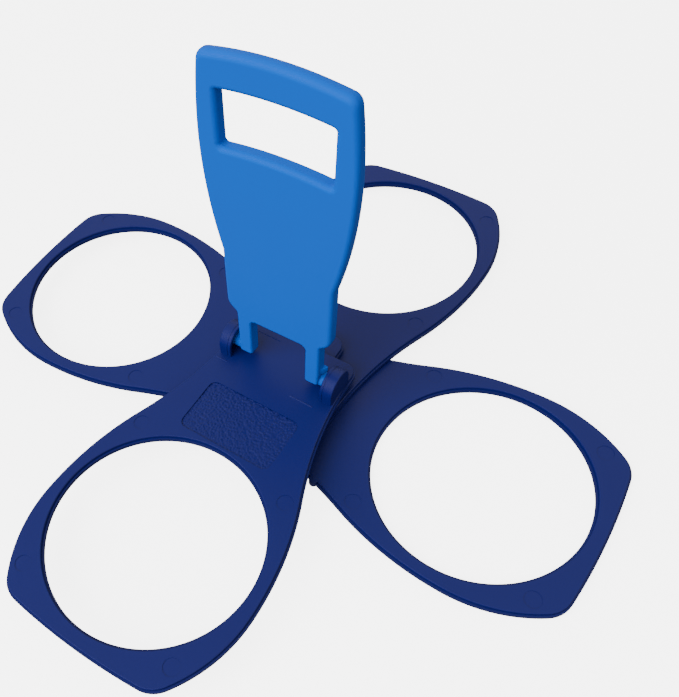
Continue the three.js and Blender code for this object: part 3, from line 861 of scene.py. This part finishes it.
def edge_rounding(sizes, place):
    """Rounding of the handle's edge at a place: it differs round the slot, at the top and on the legs."""
    high, _, _, low_corner = slot_centres(sizes)
    slot_low, slot_high = low_corner.y - sizes.slot_corner, high.y + sizes.slot_arch
    if abs(place.x) < sizes.slot_half + TINY and slot_low - TINY < place.y < slot_high + TINY:
        return sizes.slot_edge if place.z > sizes.thickness / 2 else sizes.slot_back_edge
    if place.y > sizes.widest:
        share = (place.y - sizes.widest) / (sizes.top - sizes.widest)
        return sizes.side_edge + (sizes.top_edge - sizes.side_edge) * share
    turn_in = shoulder_arcs(sizes)[1]
    share = min(1, max(0, (place.y - sizes.shoulder) / (turn_in - sizes.shoulder)))
    return sizes.leg_edge + (sizes.side_edge - sizes.leg_edge) * share


def handle_body(sizes):
    """The handle along +Y from its hinge, with its front towards +Z and a bevel weight on each rim."""
    bm = bmesh.new()
    fill(bm, (0, sizes.top), side_runs(sizes) + slot_runs(sizes))
    mirror_across(bm)
    thicken(bm, sizes.thickness)
    weight = bm.edges.layers.float.new("bevel_weight_edge")
    for edge in rims(bm):
        middle = (edge.verts[0].co + edge.verts[1].co) / 2
        edge[weight] = edge_rounding(sizes, middle) / sizes.top_edge
    move(bm, Matrix.Translation((0, 0, sizes.front - sizes.thickness)))
    return bm


def snap_tab(sizes):
    """The ramped tab beside the right leg that slides past the lug's rim."""
    bm = bmesh.new()
    root, proud = sizes.leg_outer - OVERLAP, sizes.leg_outer + sizes.tab_reach
    front, back = -sizes.tab_front, sizes.thickness - sizes.front - sizes.tab_inset
    fill(bm, (root, front), [
        (sizes.leg_outer, front), (proud, back - sizes.tab_flat), (proud, back), (root, back)])
    thicken(bm, sizes.tab_height)
    soften(bm, rims(bm), sizes.tab_edge, segments=2)
    lie_down = Matrix.Rotation(-QUARTER_TURN, 4, "X")
    move(bm, lie_down @ Matrix.Translation((0, 0, sizes.tab_foot)))
    return bm


class CARRIER_OT_handle(bpy.types.Operator):
    """Builds the carry handle with its hand slot, legs, trunnions and snap tabs"""
    bl_idname = "carrier.handle"
    bl_label = "Carry Handle"
    bl_options = {"REGISTER", "UNDO"}

    def execute(self, context):
        sizes = context.scene.carrier_handle
        plates = context.scene.carrier_plates
        colours = context.scene.carrier_finishes
        handle = gather("grip_handle", handle_body(sizes))
        rounding = handle.modifiers.new("Rounded edges", "BEVEL")
        rounding.limit_method = "WEIGHT"
        rounding.width = sizes.top_edge
        rounding.segments = 6
        rounding.profile = 0.5
        rounding.use_clamp_overlap = False
        settle(handle)
        root = sizes.gap_half + sizes.leg_corner
        trunnion = upright(sizes.trunnion, root, sizes.trunnion_end, edge=sizes.trunnion_edge)
        move(trunnion, Z_TO_X)
        for right in (trunnion, snap_tab(sizes)):
            combine(handle, gather("fittings", other_side(right), right), "UNION")
        blue = moulded_polypropylene(
            "blue_satin_polypropylene", colours.blue, colours.blue_deep,
            grain=0.6, depth=0.012, roughness=0.4, sheen=0.12)
        finish_piece(handle, "handle", "carry_handle", "blue_plastic", blue)
        axis = top_level(plates) + plates.thickness + plates.axis_height
        stand = Matrix.Rotation(QUARTER_TURN - sizes.lean, 4, "X")
        handle.data.transform(Matrix.Translation((0, 0, axis)) @ stand)
        return {"FINISHED"}


# Pivot.

def cap_shape(sizes):
    """The cap: a flange and a spigot, bored for the screw and its head."""
    edge, wide, spigot = sizes.cap_edge, sizes.cap_radius, sizes.spigot
    low, high = sizes.cap_sunk, sizes.cap_sunk + sizes.cap_thickness
    tip = high + sizes.spigot_length
    return lathe((sizes.head_hole + edge, low), [
        (wide - edge, low),
        (wide - edge, low + edge, 90),
        (wide, high - edge),
        (wide - edge, high - edge, 90),
        (spigot, high),
        (spigot, tip - edge),
        (spigot - edge, tip),
        (sizes.screw_hole, tip),
        (sizes.screw_hole, sizes.head_room),
        (sizes.head_hole, sizes.head_room),
        (sizes.head_hole, low + edge),
        (sizes.head_hole + edge, low + edge, 90),
    ])


def screw_shape(sizes):
    """The screw: a head with a round edge, a shank as wide as its thread, and a point."""
    foot, head = sizes.head_foot, sizes.head_foot + sizes.head_height
    edge, wide, thread = sizes.head_edge, sizes.head_radius, sizes.screw_radius
    tip = head + sizes.screw_length
    return lathe((0, foot), [
        (wide - edge, foot),
        (wide - edge, foot + edge, 90),
        (wide, head),
        (thread, head),
        (thread, tip - thread),
        (0, tip),
    ])


def drive_arm(sizes, turned):
    """Cutter for one arm of the cross recess, turned about the screw."""
    bm = bmesh.new()
    bmesh.ops.create_cube(bm, size=2)
    bmesh.ops.scale(bm, vec=(sizes.drive_reach, sizes.drive_half, sizes.drive_depth), verts=bm.verts[:])
    move(bm, Matrix.Translation((0, 0, sizes.head_foot)) @ Matrix.Rotation(turned, 4, "Z"))
    return bm


class CARRIER_OT_pivot(bpy.types.Operator):
    """Builds the cap and screw that close the pivot from below"""
    bl_idname = "carrier.pivot"
    bl_label = "Pivot Cap and Screw"
    bl_options = {"REGISTER", "UNDO"}

    def execute(self, context):
        sizes = context.scene.carrier_pivot
        colours = context.scene.carrier_finishes
        cap = gather("pivot_retaining_cap", cap_shape(sizes))
        finish_piece(cap, "top", "pivot_cap", "navy_plastic", navy_finish())
        screw = gather("pivot_fixing_screw", screw_shape(sizes))
        for turned in (0, QUARTER_TURN):
            combine(screw, gather("drive", drive_arm(sizes, turned)), "DIFFERENCE")
        zinc = zinc_plated_steel("bright_zinc_steel", colours.zinc)
        finish_piece(screw, "top", "pivot_screw", "zinc_steel", zinc)
        return {"FINISHED"}


# Studio.

class CARRIER_OT_stage(bpy.types.Operator):
    """Sets up the pale floor, the soft studio light and the camera"""
    bl_idname = "carrier.stage"
    bl_label = "Studio"
    bl_options = {"REGISTER", "UNDO"}

    def execute(self, context):
        scene = context.scene
        studio = scene.carrier_studio
        bm = bmesh.new()
        bmesh.ops.create_grid(bm, x_segments=1, y_segments=1, size=studio.floor_half)
        move(bm, Matrix.Translation((0, 0, -studio.floor_drop)))
        floor = gather("studio_floor", bm)
        floor.data.materials.append(self.paper(scene.carrier_finishes.floor, studio.floor_glow))
        floor.visible_diffuse = False
        floor.visible_glossy = False

        camera = bpy.data.objects.new("studio_camera", bpy.data.cameras.new("studio_camera"))
        scene.collection.objects.link(camera)
        azimuth, elevation = studio.azimuth, studio.elevation
        right = Vector((math.cos(azimuth), math.sin(azimuth), 0))
        back = Vector((
            math.sin(azimuth) * math.cos(elevation), -math.cos(azimuth) * math.cos(elevation),
            math.sin(elevation)))
        level = Matrix((right, back.cross(right), back)).transposed().to_4x4()
        place = Matrix.Translation(Vector(studio.aim) + back * studio.distance)
        camera.matrix_world = place @ level @ Matrix.Rotation(studio.roll, 4, "Z")
        camera.data.sensor_width = 36
        camera.data.lens = studio.lens
        camera.data.shift_x, camera.data.shift_y = studio.shift
        camera.data.clip_start = 0.01
        scene.camera = camera

        scene.world = self.room(studio.room_glow, studio.ceiling_glow)
        self.softbox("key_softbox", studio.key_place, studio.key_size, studio.key_power)
        self.softbox("back_softbox", studio.back_place, studio.back_size, studio.back_power)
        return {"FINISHED"}

    def room(self, low, high):
        """A bright ceiling over a dim room, which gives even light from above and little from below."""
        world = bpy.data.worlds.new("studio_room")
        world.use_nodes = True
        tree = world.node_tree
        tree.nodes.clear()
        direction = add_node(tree, "ShaderNodeTexCoord").outputs["Generated"]
        height = add_node(tree, "ShaderNodeSeparateXYZ", {"Vector": direction}).outputs["Z"]
        glow = add_node(tree, "ShaderNodeMapRange", {
            "Value": height, "From Min": -0.2, "From Max": 0.4, "To Min": low, "To Max": high})
        light = add_node(tree, "ShaderNodeBackground", {
            "Color": linear("#ffffff"), "Strength": glow.outputs["Result"]})
        add_node(tree, "ShaderNodeOutputWorld", {"Surface": light.outputs["Background"]})
        return world

    def paper(self, colour, glow):
        """Matt paper of the studio floor, with a glow of its own that keeps it pale."""
        material, tree, place = start_material("studio_paper")
        fibre = add_node(tree, "ShaderNodeTexNoise", {
            "Vector": place, "Scale": per_metre(3), "Detail": 2.0})
        gloss = add_node(tree, "ShaderNodeMapRange", {
            "Value": fibre.outputs["Fac"], "To Min": 0.85, "To Max": 0.95})
        shader = add_node(tree, "ShaderNodeBsdfPrincipled", {
            "Base Color": colour, "Roughness": gloss.outputs["Result"], "Specular IOR Level": 0.1,
            "Emission Color": colour, "Emission Strength": glow})
        add_node(tree, "ShaderNodeOutputMaterial", {"Surface": shader.outputs["BSDF"]})
        return material

    def softbox(self, name, place, size, power):
        """A square soft light that faces the carrier, and leaves no bright square in its gloss."""
        scene = bpy.context.scene
        light = bpy.data.lights.new(name, "AREA")
        light.size = size
        light.energy = power
        lamp = bpy.data.objects.new(name, light)
        lamp.location = place
        facing = Vector(scene.carrier_studio.lit_point) - Vector(place)
        lamp.rotation_euler = facing.to_track_quat("-Z", "Y").to_euler()
        lamp.visible_glossy = False
        scene.collection.objects.link(lamp)


class CARRIER_PT_pieces(bpy.types.Panel):
    """Lists the carrier's pieces and its studio"""
    bl_idname = "CARRIER_PT_pieces"
    bl_label = "Drink Carrier"
    bl_space_type = "VIEW_3D"
    bl_region_type = "UI"
    bl_category = "Carrier"

    def draw(self, context):
        for operator in OPERATORS:
            self.layout.operator(operator.bl_idname)


OPERATORS = (
    CARRIER_OT_stage, CARRIER_OT_top_plate, CARRIER_OT_ring_plates, CARRIER_OT_handle, CARRIER_OT_pivot)
GROUPS = {
    "carrier_plates": CarrierPlateSizes,
    "carrier_handle": CarrierHandleSizes,
    "carrier_pivot": CarrierPivotSizes,
    "carrier_finishes": CarrierFinishes,
    "carrier_studio": CarrierStudio,
}


def register():
    for cls in (*GROUPS.values(), *OPERATORS, CARRIER_PT_pieces):
        bpy.utils.register_class(cls)
    for name, group in GROUPS.items():
        setattr(bpy.types.Scene, name, PointerProperty(type=group))


def unregister():
    for name in GROUPS:
        delattr(bpy.types.Scene, name)
    for cls in reversed((*GROUPS.values(), *OPERATORS, CARRIER_PT_pieces)):
        bpy.utils.unregister_class(cls)


def main():
    register()
    bpy.ops.carrier.stage()
    bpy.ops.carrier.top_plate()
    bpy.ops.carrier.ring_plates()
    bpy.ops.carrier.handle()
    bpy.ops.carrier.pivot()


if __name__ == "__main__":
    main()
